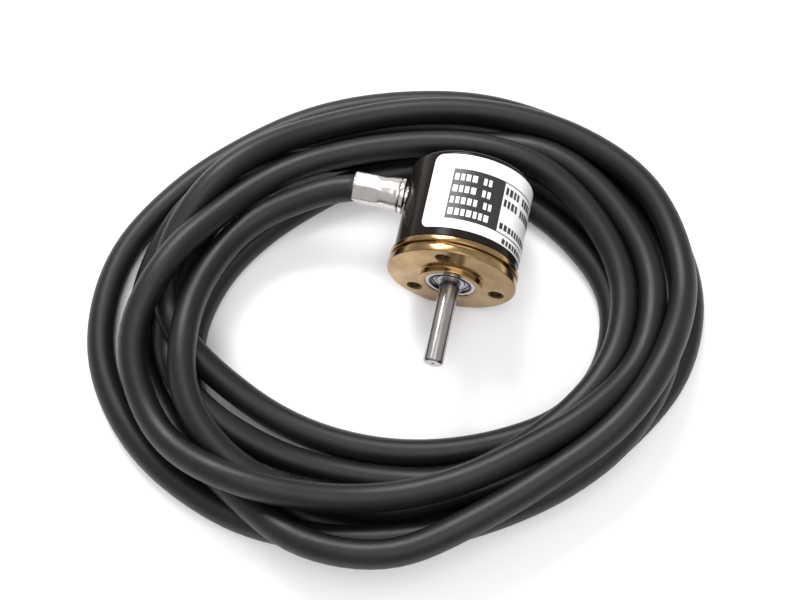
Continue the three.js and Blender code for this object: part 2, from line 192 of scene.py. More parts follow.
def lathe(profile, segments=96, closed=True, centre=(0, 0)):
    """Vertices and faces of a profile of (radius, y) points turned about the Y axis."""
    vertices = [
        (centre[0] + r * math.cos(a), y, centre[1] + r * math.sin(a))
        for a in np.linspace(0, 2 * math.pi, segments, endpoint=False)
        for r, y in profile
    ]
    count = len(profile)
    faces = ring_faces(segments, count, closed=True)
    if not closed:
        faces = [face for i, face in enumerate(faces) if i % count != count - 1]
    return vertices, faces


def tube(path, radius, sides=20, chamfer=0.0):
    """Vertices and faces of a closed tube along a path, with its section kept from twisting."""
    path = np.array(path, float)
    ahead = np.gradient(path, axis=0)
    ahead /= np.linalg.norm(ahead, axis=1)[:, None]
    side = np.cross(ahead[0], [0, 0, 1])
    if chamfer:
        path = np.vstack([
            path[:1], path[:1] + ahead[:1] * chamfer, path[1:-1],
            path[-1:] - ahead[-1:] * chamfer, path[-1:],
        ])
        ahead = np.vstack([ahead[:1], ahead, ahead[-1:]])
    radii = np.full(len(path), float(radius))
    radii[[0, -1]] -= chamfer
    vertices = []
    for place, direction, r in zip(path, ahead, radii):
        side = side - direction * side.dot(direction)
        side /= np.linalg.norm(side)
        other = np.cross(direction, side)
        for a in np.linspace(0, 2 * math.pi, sides, endpoint=False):
            vertices.append(tuple(place + r * (math.cos(a) * side + math.sin(a) * other)))
    last = (len(path) - 1) * sides
    faces = ring_faces(len(path), sides, closed=False)
    faces += [tuple(range(sides)), tuple(range(last, last + sides))]
    return vertices, faces


def joined(*parts):
    """Several (vertices, faces) as one, and for each face the number of the part it is from."""
    vertices, faces, source = [], [], []
    for number, (more_vertices, more_faces) in enumerate(parts):
        start = len(vertices)
        vertices += list(more_vertices)
        faces += [tuple(start + i for i in face) for face in more_faces]
        source += [number] * len(more_faces)
    return vertices, faces, source


def cut_out(piece, cutters):
    """Cuts closed meshes out of a piece and deletes them."""
    for cutter in cutters:
        modifier = piece.modifiers.new("cut", "BOOLEAN")
        modifier.object = cutter
        modifier.operation = "DIFFERENCE"
        modifier.solver = "EXACT"
        modifier.material_mode = "TRANSFER"
    bpy.context.view_layer.update()
    evaluated = piece.evaluated_get(bpy.context.evaluated_depsgraph_get())
    finished = bpy.data.meshes.new_from_object(evaluated)
    piece.modifiers.clear()
    piece.data = finished
    work = bmesh.new()
    work.from_mesh(finished)
    mark_sharp(work, SHARP_DEGREES)
    work.to_mesh(finished)
    work.free()
    for cutter in cutters:
        bpy.data.objects.remove(cutter)


# ---- The cable's route ----

COIL_CENTRE = np.array([-3.8, -8.35])
FIRST_HEADING = 140  # degrees about the coil's centre, from +X towards +Y
HEADING_STEP = 20
LAYER_RISE = 4.9  # a turn that lies in the groove between two others is this much higher
IN_FERRULE = [1.2, 0, 0]  # the route's start, and its next point, from the ferrule's mouth
PAST_FERRULE = [-4.5, -0.9, -0.6]
SPACING = 2.5  # between the points that the cable is settled with
FIXED = 3  # points at the ferrule that don't move
CLIMB_ROUNDS = 20  # of smoothing, on the plan's heights
LAST_ROUNDS = 4  # of smoothing, on the settled line

# A point that rises by 1 mm and moves by this much over the table stays in its place in the view.
SIGHT = np.array([towards_camera.x, towards_camera.y]) / towards_camera.z

# Where each turn lies every 20 degrees from heading 140, in order from the encoder: how far out,
# and on how many layers of other turns. Each row ends behind the encoder: the last one at heading
# 60, the others at 80.
TURN_RADII = [
    [29.5, 36, 39.5, 43, 46.8, 46.5, 42, 40, 39.4, 42, 45.2, 48, 48, 43.7, 40.2, 36],
    [33.5, 33, 32.5, 34.8, 39.2, 44.3, 46, 45, 46, 45, 42.6, 45, 49.6, 55.7, 58.5, 58.5, 55.5, 52.5],
    [49.5, 49, 50.3, 54.3, 59.5, 61, 58, 53, 49, 47, 45.7, 46.8, 50.7, 54, 55, 53, 50, 46.5],
    [44.5, 44.5, 45, 46, 46, 46, 44, 38.4, 35, 34.3, 35.8, 37.3, 40.7, 44.3, 45.7, 44.5, 43, 40],
    [
        37.2, 36.8, 38.8, 41.8, 46.6, 53.4, 53, 48.3, 42.5,
        38.8, 38.7, 39.1, 43.5, 49, 51.5, 50, 47.5, 42.5,
    ],
    [39, 38.5, 41.5, 48, 52, 53, 50.3, 48, 51.2, 51, 46.5, 45.5, 48.5, 52.7, 57.5, 58, 53.5, 48.5],
    [45.2, 44, 44.5, 46, 48.5, 45.5, 36, 31.6, 29.3, 29, 30.7, 34.8, 40, 43.5, 44, 40, 36],
]
TURN_LAYERS = [
    [2, 1.5, 1.5, 2, 2, 1, 0.4, 0.2, 0.8, 0.8, 0, 0, 0, 0, 0, 0],
    [0, 0, 0, 0, 0, 0, 0, 0, 0, 0, 0, 0, 0, 0, 0, 0, 0, 0],
    [0, 0, 0, 0, 0, 0, 0, 0, 0.7, 1, 1, 1, 1, 0.8, 0.2, 0, 0, 0],
    [0, 0, 0, 0, 0, 0.7, 1, 0.2, 0, 0, 0, 0.5, 1, 1, 1, 1, 1.2, 1],
    [1, 1, 1, 1, 2, 1.5, 1, 2, 1.6, 1.2, 1.9, 1.9, 1.9, 1.3, 1, 1, 1, 0.3],
    [0, 0, 0.8, 1, 0, 0, 0, 0.9, 1.5, 1.9, 2, 2, 2, 2, 1, 1, 1, 1],
    [1, 1, 1.5, 2, 1, 1, 0, 0, 0, 0, 0, 0, 0, 0, 0, 0, 0],
]


def planned_route():
    """The listed route: straight out of the ferrule, then round the coil's turns."""
    mouth = np.array([ferrule_low.x + LOCAL.x, GLAND_Y + LOCAL.y, LOCAL.z])
    points = [mouth + IN_FERRULE, mouth + PAST_FERRULE]
    radii = [r for row in TURN_RADII for r in row]
    layers = [layer for row in TURN_LAYERS for layer in row]
    for i, (radius, layer) in enumerate(zip(radii, layers)):
        heading = math.radians(FIRST_HEADING + HEADING_STEP * i)
        x, y = COIL_CENTRE + np.array([math.cos(heading), math.sin(heading)]) * radius
        points.append(np.array([x, y, CABLE_R + LAYER_RISE * layer]))
    return np.array(points)


def evenly_spaced(points, spacing, samples=12):
    """Points at even spacing on the smooth curve through the given ones."""
    ends = np.vstack([2 * points[0] - points[1], points, 2 * points[-1] - points[-2]])
    fine = []
    for a, b, c, d in zip(ends, ends[1:], ends[2:], ends[3:]):
        for t in np.linspace(0, 1, samples, endpoint=False):
            fine.append(0.5 * (
                2 * b + (c - a) * t + (2 * a - 5 * b + 4 * c - d) * t**2
                + (3 * b - a - 3 * c + d) * t**3
            ))
    fine = np.array([*fine, points[-1]])
    along = np.concatenate([[0], np.cumsum(np.linalg.norm(np.diff(fine, axis=0), axis=1))])
    steps = np.linspace(0, along[-1], round(along[-1] / spacing) + 1)
    return np.stack([np.interp(steps, along, fine[:, k]) for k in range(3)], axis=1)


def softened(values, rounds):
    """Each value moved towards the middle of its neighbours, with the ends kept."""
    values = values.copy()
    for _ in range(rounds):
        values[1:-1] += 0.5 * ((values[:-2] + values[2:]) / 2 - values[1:-1])
    return values


def with_gentle_climbs(plan):
    """The plan with its climbs drawn out, and each point kept on its line of sight."""
    gentle = plan.copy()
    gentle[:, 2] = softened(plan[:, 2], CLIMB_ROUNDS)
    gentle[:, :2] += (gentle[:, 2] - plan[:, 2])[:, None] * SIGHT
    gentle[:FIXED] = plan[:FIXED]
    return gentle


def keep_off_encoder(p, gap=0.3):
    """Moves points of the cable out of the flange and the cover, sideways or to behind them."""
    away = p[:, [0, 2]] - [LOCAL.x, LOCAL.z]
    far = np.linalg.norm(away, axis=1)
    sideways = far - FLANGE_R - gap - CABLE_R
    behind = p[:, 1] - (LOCAL.y + cover_high.y) - gap - CABLE_R
    before = LOCAL.y - p[:, 1] - CABLE_R
    inside = (sideways < 0) & (behind < 0) & (before < 0)
    push_out = inside & (sideways > behind)
    push_back = inside & ~push_out
    p[np.ix_(push_out, [0, 2])] -= (sideways[push_out] / far[push_out])[:, None] * away[push_out]
    p[push_back, 1] -= behind[push_back]


def touching(p, distance, not_near):
    """The numbers of the points that are closer than a distance, as two lists."""
    gaps = np.linalg.norm(p[:, None] - p[None, :], axis=2)
    return np.nonzero(np.triu((gaps < distance) & not_near))


def part_strands(p, first, second, apart, upright_bias):
    """Moves pairs of points that are too close apart, more upwards than sideways."""
    between = p[first] - p[second]
    gap = np.linalg.norm(between, axis=1)
    close = gap < apart
    way = between[close] * upright_bias
    way /= np.linalg.norm(way, axis=1)[:, None]
    push = 0.5 * (apart - gap[close])[:, None] * way
    moved = np.zeros_like(p)
    touches = np.zeros((len(p), 1))
    for ends, sign in ((first[close], 1), (second[close], -1)):
        np.add.at(moved, ends, sign * push)
        np.add.at(touches, ends, 1)
    p += moved / np.maximum(touches, 1)


def restore_lengths(p, rest):
    """Moves neighbours back to their distance at rest, every other pair first."""
    index = np.arange(len(p))
    for start in (0, 1):
        a, b = index[start:-1:2], index[start + 1::2]
        edge = p[b] - p[a]
        length = np.linalg.norm(edge, axis=1)
        fix = 0.5 * ((length - rest[a]) / length)[:, None] * edge
        p[a] += fix
        p[b] -= fix


def settle(plan, rounds=500, calm_rounds=60):
    """Lets the planned route fall until it lies on the table and on itself.

    Each round pulls the points weakly to their line of sight in the plan and down, parts the
    strands that touch, restores the length between neighbours, and keeps them off the encoder.
    The pulls are weaker still in the last, calm rounds.
    """
    pull, fall = 0.08, 0.04
    calm_pull, calm_fall = 0.02, 0.005
    smoothing = 3  # rounds of it, each time, on how far the points are from the plan
    apart = 2 * CABLE_R
    upright_bias = [0.7, 0.7, 1.5]
    search_every = 5
    search_distance = 1.5 * apart
    neighbours = round(3 * apart / SPACING)  # points this close along the cable aren't parted

    p = plan.copy()
    rest = np.linalg.norm(np.diff(plan, axis=0), axis=1)
    index = np.arange(len(p))
    not_near = np.abs(index[:, None] - index[None, :]) > neighbours
    for turn in range(rounds):
        calm = turn > rounds - calm_rounds
        seen_place = plan[:, :2] + (p[:, 2] - plan[:, 2])[:, None] * SIGHT
        p[:, :2] += (calm_pull if calm else pull) * (seen_place - p[:, :2])
        p[:, 2] -= calm_fall if calm else fall
        p = plan + softened(p - plan, smoothing)
        if turn % search_every == 0:
            first, second = touching(p, search_distance, not_near)
        part_strands(p, first, second, apart, upright_bias)
        restore_lengths(p, rest)
        keep_off_encoder(p[FIXED:])
        p[:, 2] = np.maximum(p[:, 2], CABLE_R)
        p[:FIXED] = plan[:FIXED]
    return p


gentle_plan = with_gentle_climbs(evenly_spaced(planned_route(), SPACING))
cable_line = softened(settle(gentle_plan), LAST_ROUNDS)

# ---- Material tools ----


class Graph:
    """A material's node tree, with short calls for the nodes used here."""

    COLOR_A, COLOR_B, COLOR_OUT = 6, 7, 2  # a Mix node's colour sockets

    def __init__(self, name, color, roughness, metallic=0.0, **sockets):
        self.material = bpy.data.materials.new(name)
        self.material.use_nodes = True
        self.tree = self.material.node_tree
        self.shader = self.tree.nodes["Principled BSDF"]
        self.shader.inputs["Base Color"].default_value = (*color, 1)
        self.shader.inputs["Roughness"].default_value = roughness
        self.shader.inputs["Metallic"].default_value = metallic
        for socket, value in sockets.items():
            self.shader.inputs[socket.replace("_", " ")].default_value = value
        self.place = self.tree.nodes.new("ShaderNodeTexCoord").outputs["Object"]

    def node(self, kind, **settings):
        made = self.tree.nodes.new(kind)
        for key, value in settings.items():
            setattr(made, key, value)
        return made

    def feed(self, socket, value):
        """Sets an input to a number or colour, or links it to another node's output."""
        if isinstance(value, bpy.types.NodeSocket):
            self.tree.links.new(value, socket)
        elif hasattr(value, "__len__") and len(value) == 3 and socket.type == "RGBA":
            socket.default_value = (*value, 1)
        else:
            socket.default_value = value

    def math(self, operation, *values):
        made = self.node("ShaderNodeMath", operation=operation)
        for socket, value in zip(made.inputs, values):
            self.feed(socket, value)
        return made.outputs[0]

    def noise(self, size_mm, detail=3.0, stretch=(1, 1, 1)):
        """Noise from 0 to 1 whose features are about size_mm across, times the stretch."""
        scaled = self.node("ShaderNodeVectorMath", operation="MULTIPLY")
        self.feed(scaled.inputs[0], self.place)
        scaled.inputs[1].default_value = [1 / (s * size_mm * MM) for s in stretch]
        made = self.node("ShaderNodeTexNoise")
        self.feed(made.inputs["Vector"], scaled.outputs[0])
        made.inputs["Scale"].default_value = 1
        made.inputs["Detail"].default_value = detail
        return made.outputs["Fac"]

    def lathe_lines(self, pitch_mm, detail=2.0):
        """Fine rings round the shaft's axis, as a lathe tool leaves on faces and on sides."""
        moved = self.node("ShaderNodeVectorMath", operation="SUBTRACT")
        self.feed(moved.inputs[0], self.place)
        moved.inputs[1].default_value = LOCAL * MM
        apart = self.node("ShaderNodeSeparateXYZ")
        self.feed(apart.inputs[0], moved.outputs[0])
        x, y, z = apart.outputs
        squares = self.math("ADD", self.math("MULTIPLY", x, x), self.math("MULTIPLY", z, z))
        made = self.node("ShaderNodeTexNoise", noise_dimensions="1D")
        self.feed(made.inputs["W"], self.math("ADD", self.math("SQRT", squares), y))
        made.inputs["Scale"].default_value = 1 / (pitch_mm * MM)
        made.inputs["Detail"].default_value = detail
        return made.outputs["Fac"]

    def between(self, factor, low, high):
        """The factor, from 0 to 1, turned into a number from low to high."""
        made = self.node("ShaderNodeMapRange")
        self.feed(made.inputs["Value"], factor)
        made.inputs["To Min"].default_value = low
        made.inputs["To Max"].default_value = high
        return made.outputs[0]

    def above(self, factor, threshold, softness=0.02):
        """0 where the factor is below the threshold, and 1 where it is above it by the softness."""
        made = self.node("ShaderNodeMapRange")
        self.feed(made.inputs["Value"], factor)
        made.inputs["From Min"].default_value = threshold
        made.inputs["From Max"].default_value = threshold + softness
        return made.outputs[0]

    def mixed(self, factor, first, second):
        made = self.node("ShaderNodeMix", data_type="RGBA")
        self.feed(made.inputs["Factor"], factor)
        self.feed(made.inputs[self.COLOR_A], first)
        self.feed(made.inputs[self.COLOR_B], second)
        return made.outputs[self.COLOR_OUT]

    def color(self, value):
        self.feed(self.shader.inputs["Base Color"], value)

    def roughness(self, value):
        self.feed(self.shader.inputs["Roughness"], value)

    def bump(self, height, depth_mm, strength=1.0):
        """Adds bumps of this depth to those that the material already has."""
        made = self.node("ShaderNodeBump")
        normal = self.shader.inputs["Normal"]
        if normal.links:
            self.feed(made.inputs["Normal"], normal.links[0].from_socket)
        self.feed(made.inputs["Height"], height)
        made.inputs["Distance"].default_value = depth_mm * MM
        made.inputs["Strength"].default_value = strength
        self.feed(normal, made.outputs[0])


def scaled_color(color, factor):
    return tuple(min(1.0, channel * factor) for channel in color)


# ---- Kinds of material: sizes of noise are in millimetres ----


def turned_metal(name, color, stain, roughness, pitch_mm=0.09, stain_share=0.35):
    """Lathe-turned metal: fine rings, cloudy tarnish and a few dark specks."""
    g = Graph(name, color, roughness, metallic=1.0)
    clouds = g.noise(5.0, 4)
    rings = g.lathe_lines(pitch_mm * 3)
    fresh = g.mixed(rings, scaled_color(color, 0.9), scaled_color(color, 1.06))
    tarnished = g.mixed(g.between(clouds, -stain_share, 2 * stain_share), fresh, stain)
    specks = g.above(g.noise(0.35, 2), 0.74, 0.05)
    g.color(g.mixed(specks, tarnished, scaled_color(stain, 0.35)))
    g.roughness(g.between(clouds, roughness * 0.8, roughness * 1.25))
    g.bump(g.lathe_lines(pitch_mm), 0.004)
    g.bump(g.noise(1.6, 3), 0.006, 0.6)
    return g.material


def ground_steel(name, color, roughness, grain=(1, 1, 1), depth_mm=0.004, pits_above=0.77):
    """Ground or drawn steel: streaks along one way, faint smears and pits."""
    g = Graph(name, color, roughness, metallic=1.0)
    streaks = g.noise(0.4, 3, grain)
    smears = g.noise(2.4, 4)
    clean = g.mixed(streaks, scaled_color(color, 0.8), scaled_color(color, 1.12))
    pits = g.above(g.noise(0.3, 1), pits_above, 0.03)
    g.color(g.mixed(pits, clean, (0.03, 0.028, 0.026)))
    g.roughness(g.between(smears, roughness * 0.7, roughness * 1.5))
    g.bump(streaks, depth_mm)
    return g.material


def plated(name, color, roughness):
    """Bright nickel plate over a surface that isn't quite smooth."""
    g = Graph(name, color, roughness, metallic=1.0)
    clouds = g.noise(1.8, 4)
    g.color(g.mixed(clouds, scaled_color(color, 0.88), scaled_color(color, 1.05)))
    g.roughness(g.between(clouds, roughness * 0.6, roughness * 1.7))
    g.bump(g.noise(0.9, 3), 0.012)
    g.bump(g.noise(0.12, 2), 0.001)
    return g.material


def moulded(name, color, roughness, grain_mm=0.25, depth_mm=0.008):
    """Moulded plastic: fine grain, slightly uneven in colour and gloss."""
    g = Graph(name, color, roughness)
    clouds = g.noise(2.2, 3)
    g.color(g.mixed(clouds, scaled_color(color, 0.85), scaled_color(color, 1.2)))
    g.roughness(g.between(clouds, roughness * 0.85, roughness * 1.15))
    g.bump(g.noise(grain_mm, 2), depth_mm)
    return g.material


def insulated(name, color):
    """A core's smooth plastic."""
    return moulded(name, color, 0.38, grain_mm=0.4, depth_mm=0.004)


def clear(name, color, roughness):
    """Clear glass or resin."""
    g = Graph(name, color, roughness, Transmission_Weight=0.9, IOR=1.5)
    g.color(g.mixed(g.noise(1.5, 2), scaled_color(color, 0.93), color))
    g.roughness(g.between(g.noise(0.8, 3), roughness * 0.6, roughness * 1.6))
    g.bump(g.noise(1.3, 1), 0.004)
    return g.material


def printed(name, color):
    """Screen-printed ink, a little mottled."""
    g = Graph(name, color, 0.38)
    mottle = g.noise(0.5, 4)
    g.color(g.mixed(mottle, scaled_color(color, 0.8), scaled_color(color, 1.25)))
    g.roughness(g.between(mottle, 0.3, 0.46))
    g.bump(g.noise(0.18, 2), 0.003)
    return g.material


def enamel(name):
    """The cover's brown-black enamel, with a little dust."""
    g = Graph(name, (0.011, 0.0085, 0.0075), 0.16, Specular_IOR_Level=0.09)
    g.color(g.mixed(g.noise(6, 3), (0.009, 0.007, 0.0065), (0.019, 0.0135, 0.011)))
    dust = g.above(g.noise(0.3, 1), 0.78, 0.02)
    clean = g.between(g.noise(3, 4), 0.12, 0.24)
    g.roughness(g.math("ADD", clean, g.math("MULTIPLY", dust, 0.3)))
    g.bump(g.noise(1.1, 1), 0.012)
    return g.material


def foil(name):
    """The label's white foil."""
    g = Graph(name, (0.86, 0.86, 0.85), 0.3, Coat_Weight=0.25, Coat_Roughness=0.12)
    g.color(g.mixed(g.noise(4, 4), (0.8, 0.8, 0.8), (0.9, 0.9, 0.89)))
    g.roughness(g.between(g.noise(2, 3), 0.24, 0.38))
    g.bump(g.noise(0.7, 2), 0.004)
    return g.material


def jacket(name):
    """The cable's black jacket: extruded, so slightly wavy and grained, with some dust."""
    g = Graph(name, (0.005, 0.0055, 0.0053), 0.42, Specular_IOR_Level=0.36)
    haze = g.noise(9, 4)
    clean = g.mixed(haze, (0.0025, 0.003, 0.0028), (0.0085, 0.0095, 0.009))
    dust = g.above(g.noise(0.45, 1), 0.77, 0.03)
    g.color(g.mixed(dust, clean, (0.05, 0.05, 0.047)))
    g.roughness(g.between(g.noise(4, 5), 0.36, 0.5))
    g.bump(g.noise(0.35, 3), 0.022)
    g.bump(g.noise(7, 1), 0.05, 0.5)
    return g.material


def circuit_board(name):
    """Green solder mask with raised copper tracks under it."""
    g = Graph(name, (0.02, 0.13, 0.05), 0.35, Coat_Weight=0.3, Coat_Roughness=0.15)
    tracks = g.node("ShaderNodeTexBrick", offset=0.37, squash=1.6)
    turned = g.node("ShaderNodeMapping")
    g.feed(turned.inputs["Vector"], g.place)
    turned.inputs["Rotation"].default_value = (math.radians(90), 0, 0)
    g.feed(tracks.inputs["Vector"], turned.outputs[0])
    tracks.inputs["Scale"].default_value = 420
    tracks.inputs["Mortar Size"].default_value = 0.035
    line = tracks.outputs["Fac"]
    mask = g.mixed(g.noise(2, 3), (0.014, 0.1, 0.038), (0.026, 0.15, 0.06))
    g.color(g.mixed(line, mask, (0.07, 0.24, 0.1)))
    g.roughness(g.between(g.noise(1.2, 3), 0.26, 0.42))
    g.bump(line, 0.02)
    return g.material


# ---- The slots' materials: each kind, with what it takes after the name ----

NICKEL = (0.72, 0.7, 0.67)
MATERIALS = {
    "brass": (turned_metal, (0.455, 0.305, 0.145), (0.22, 0.125, 0.055), 0.2, 0.09, 0.7),
    "black_enamel": (enamel,),
    "label_foil": (foil,),
    "seal_rubber": (moulded, (0.014, 0.014, 0.015), 0.6),
    "bearing_steel": (turned_metal, (0.6, 0.61, 0.63), (0.3, 0.3, 0.3), 0.14, 0.06, 0.2),
    "ball_steel": (plated, (0.68, 0.69, 0.7), 0.06),
    "cage_plastic": (moulded, (0.45, 0.29, 0.12), 0.45),
    "shield_steel": (turned_metal, (0.5, 0.51, 0.53), (0.22, 0.22, 0.22), 0.22, 0.05, 0.25),
    "spring_steel": (ground_steel, (0.42, 0.43, 0.45), 0.28),
    "shaft_steel": (ground_steel, (0.43, 0.4, 0.39), 0.21, (0.5, 14, 0.5), 0.002, 0.71),
    "turned_aluminium": (turned_metal, (0.7, 0.71, 0.72), (0.5, 0.5, 0.5), 0.3),
    "disc_steel": (ground_steel, (0.5, 0.51, 0.53), 0.16),
    "board_green": (circuit_board,),
    "standoff_nickel": (plated, NICKEL, 0.2),
    "screw_steel": (plated, (0.55, 0.56, 0.58), 0.24),
    "holder_black": (moulded, (0.02, 0.02, 0.021), 0.5),
    "led_clear": (clear, (0.86, 0.9, 0.95), 0.05),
    "reticle_glass": (clear, (0.8, 0.92, 0.9), 0.03),
    "chip_black": (moulded, (0.018, 0.018, 0.02), 0.55, 0.12),
    "capacitor_can": (ground_steel, (0.66, 0.67, 0.69), 0.24),
    "capacitor_tan": (moulded, (0.42, 0.3, 0.17), 0.4),
    "gland_nickel": (plated, NICKEL, 0.16),
    "ferrule_nickel": (plated, (0.69, 0.65, 0.625), 0.24),
    "wire_red": (insulated, (0.4, 0.028, 0.02)),
    "wire_black": (insulated, (0.016, 0.016, 0.017)),
    "wire_yellow": (insulated, (0.62, 0.43, 0.03)),
    "wire_blue": (insulated, (0.03, 0.1, 0.35)),
    "cable_jacket": (jacket,),
}
material = {slot: make(slot, *values) for slot, (make, *values) in MATERIALS.items()}
ink_black = printed("label_ink", (0.022, 0.018, 0.018))
ink_white = printed("label_white", (0.8, 0.8, 0.79))
# Brass darkened as painted shade, for the walls of the threaded holes.
hole_shade_brass = turned_metal("hole_shade_brass", (0.13, 0.075, 0.035), (0.05, 0.028, 0.015), 0.4)
black_oxide = turned_metal("black_oxide", (0.035, 0.031, 0.03), (0.012, 0.01, 0.009), 0.3)
copper = turned_metal("tinned_copper", (0.72, 0.55, 0.42), (0.5, 0.3, 0.2), 0.25, 0.2, 0.2)

slots = {part["node"]: part["material_slot"] for part in frame["record"]["subparts"]}
for node, piece in frame["nodes"].items():
    piece.data.materials.clear()
    piece.data.materials.append(material[slots[node]])

# ---- Flange ----

BOSS_R = 6.4
COUNTERBORE_R = 5.1
COUNTERBORE_STEP = 0.1  # from the counterbore's floor back to the bearing's front
RIM_BACK = 3.4
GROOVE_R = FLANGE_R - 0.9  # the servo groove's floor
GROOVE_EDGES, GROOVE_FLOOR = (1.5, 2.3), (1.55, 2.25)
SPIGOT_R, SPIGOT_BACK = 11.5, 6.9  # fits in the cover
SEAL_R, SEAL_GROOVE = 10.7, (4.6, 5.8)
TUBE_R = 6.4  # the tube round the bearings, behind the spigot
REAR_SHOULDER = 8.4
SEAT_R = ring_high.x + 0.03
BORE_R = ring_high.x - 0.6

HOLE_CIRCLE = 9.75
HOLE_ANGLES = (101, 221, 341)  # seen from the front: 0 is +X and 90 is +Z
HOLE_R = 1.25
HOLE_DEPTH = 4.2
DRILL_POINT = 0.7
COUNTERSINK = 0.4  # wider than the hole, and deep
THREAD_FROM = 0.45
THREAD_DEPTH = 0.17
THREAD_PITCH = 0.5


def on_circle(radius, degrees):
    return radius * math.cos(math.radians(degrees)), radius * math.sin(math.radians(degrees))


def threaded_hole(name, centre):
    """A closed cutter: a small countersink, then thread grooves, then the drill's cone. Its dark brass is painted
    shade for the hole's walls.
    """
    wide = HOLE_R + COUNTERSINK
    profile = [(0, -1), (wide, -1), (wide, 0.0), (HOLE_R, COUNTERSINK)]
    y = THREAD_FROM
    while y < HOLE_DEPTH - THREAD_PITCH:
        profile += [
            (HOLE_R, y), (HOLE_R + THREAD_DEPTH, y + THREAD_PITCH * 0.45),
            (HOLE_R, y + THREAD_PITCH * 0.9),
        ]
        y += THREAD_PITCH
    profile += [(HOLE_R, HOLE_DEPTH), (0, HOLE_DEPTH + DRILL_POINT)]
    vertices, faces = lathe(profile, 40, closed=False, centre=centre)
    return add_mesh(name, vertices, faces, [hole_shade_brass])


def add_flange():
    front, rear = flange_low.y, flange_high.y
    seat_end = ring_high.y + 0.02
    counterbore_floor = ring_low.y - COUNTERBORE_STEP
    profile = rounded([
        (COUNTERBORE_R, front), (BOSS_R, front), (BOSS_R, 0), (FLANGE_R, 0),
        (FLANGE_R, GROOVE_EDGES[0]), (GROOVE_R, GROOVE_FLOOR[0]),
        (GROOVE_R, GROOVE_FLOOR[1]), (FLANGE_R, GROOVE_EDGES[1]),
        (FLANGE_R, RIM_BACK), (SPIGOT_R, RIM_BACK),
        (SPIGOT_R, SEAL_GROOVE[0]), (SEAL_R, SEAL_GROOVE[0]),
        (SEAL_R, SEAL_GROOVE[1]), (SPIGOT_R, SEAL_GROOVE[1]),
        (SPIGOT_R, SPIGOT_BACK), (TUBE_R, SPIGOT_BACK), (TUBE_R, rear), (SEAT_R, rear),
        (SEAT_R, REAR_SHOULDER), (BORE_R, REAR_SHOULDER), (BORE_R, seat_end), (SEAT_R, seat_end),
        (SEAT_R, counterbore_floor), (COUNTERBORE_R, counterbore_floor),
    ], 0.22)
    flange = add_mesh("flange_turned", *lathe(profile, 144), [material["brass"]])
    # The holes' walls take the cutters' dark brass: painted shade.
    cut_out(flange, [
        threaded_hole(f"hole_{i}", on_circle(HOLE_CIRCLE, angle))
        for i, angle in enumerate(HOLE_ANGLES)
    ])
    ride(flange, "housing", "brass", "flange")


# ---- Cover and its label ----

COVER_INSIDE_R = 11.6
COVER_END_WALL = 1.2
COVER_EDGE_R = 0.9  # the rounding round its rear
CABLE_HOLE_R = 2.45
NEAR_AXIS = 0.01  # how close to the axis the closed profile comes


def add_cover():
    front, rear = cover_low.y, cover_high.y
    wall = rear - COVER_END_WALL
    lip = 0.25
    dish = rear - 0.12  # the rear face is a little sunk inside its rim
    profile = rounded([
        (NEAR_AXIS, wall), (COVER_INSIDE_R, wall), (COVER_INSIDE_R, front),
        (COVER_R - lip, front), (COVER_R, front + lip),
    ], 0.12, closed=False)
    profile += [
        (
            COVER_R - COVER_EDGE_R + COVER_EDGE_R * math.cos(a),
            rear - COVER_EDGE_R + COVER_EDGE_R * math.sin(a),
        )
        for a in np.linspace(0, math.pi / 2, 9)
    ]
    profile += [(COVER_R - 2.0, rear), (COVER_R - 2.3, dish), (NEAR_AXIS, dish)]
    cover = add_mesh("cover_shell", *lathe(profile, 144), [material["black_enamel"]])
    hole_path = [(-COVER_R - 2, GLAND_Y, 0), (-COVER_R + 2, GLAND_Y, 0)]
    hole = add_mesh("cable_hole", *tube(hole_path, CABLE_HOLE_R, 40), [])
    cut_out(cover, [hole])
    ride(cover, "housing", "black_enamel", "housing_cover")


# Angles round the cover are in degrees, seen from the front: 0 is +X and 90 is +Z.
LABEL_FROM, LABEL_TO = 126, -60
LABEL_FRONT = label_low.y + 0.35  # the photographed label starts behind the CAD one
LABEL_INNER_R = COVER_R + 0.06
LABEL_OUTER_R = LABEL_INNER_R + 0.1
LABEL_CORNER = 1.6
INK = 0.02  # the thickness of one layer of print
INK_SINK = 0.005  # how far each layer reaches into what it lies on
PANEL_FROM, PANEL_TO = 105, 56
PANEL_FRONT, PANEL_REAR = 7.3, 18.3
RIM_TO, RIM_WIDTH = LABEL_TO + 8, 0.22  # the lines that lead on from the panel's edges
SPACE = 2.5  # between words, in degrees
WHITE_START, WHITE_HEIGHT = 103, 1.45
WHITE_ROWS = ((16.5, 4, 2), (13.9, 4, 2), (11.4, 5, 2), (8.9, 7, 0))  # y, blocks in each word
BLACK_ROWS = (  # y, start, blocks, height
    (16.5, 54, 12, 1.6), (13.9, 54, 11, 1.6), (8.9, 54, 14, 1.3), (6.1, 48, 9, 1.1),
)


def wrapped(start, end, front, rear, inner, outer, corner=0.0, step_degrees=2.5):
    """A closed sheet bent round the cover between two angles and two places along the axis."""
    arc = math.radians(abs(end - start)) * outer
    places = set(np.linspace(0, arc, max(2, round(abs(end - start) / step_degrees) + 1)))
    if corner:
        bend = [corner * (1 - math.cos(t)) for t in np.linspace(0, math.pi / 2, 6)]
        places |= {*bend, *(arc - b for b in bend)}
    vertices = []
    for along in sorted(places):
        into_corner = max(0.0, corner - min(along, arc - along))
        inset = corner - math.sqrt(max(0.0, corner**2 - into_corner**2))
        angle = math.radians(start + (end - start) * along / arc)
        near, far = front + inset, rear - inset
        for r, y in ((inner, near), (outer, near), (outer, far), (inner, far)):
            vertices.append((r * math.cos(angle), y, r * math.sin(angle)))
    columns = len(vertices) // 4
    faces = ring_faces(columns, 4, closed=False)
    faces += [(0, 1, 2, 3), tuple(4 * (columns - 1) + k for k in range(4))]
    return vertices, faces


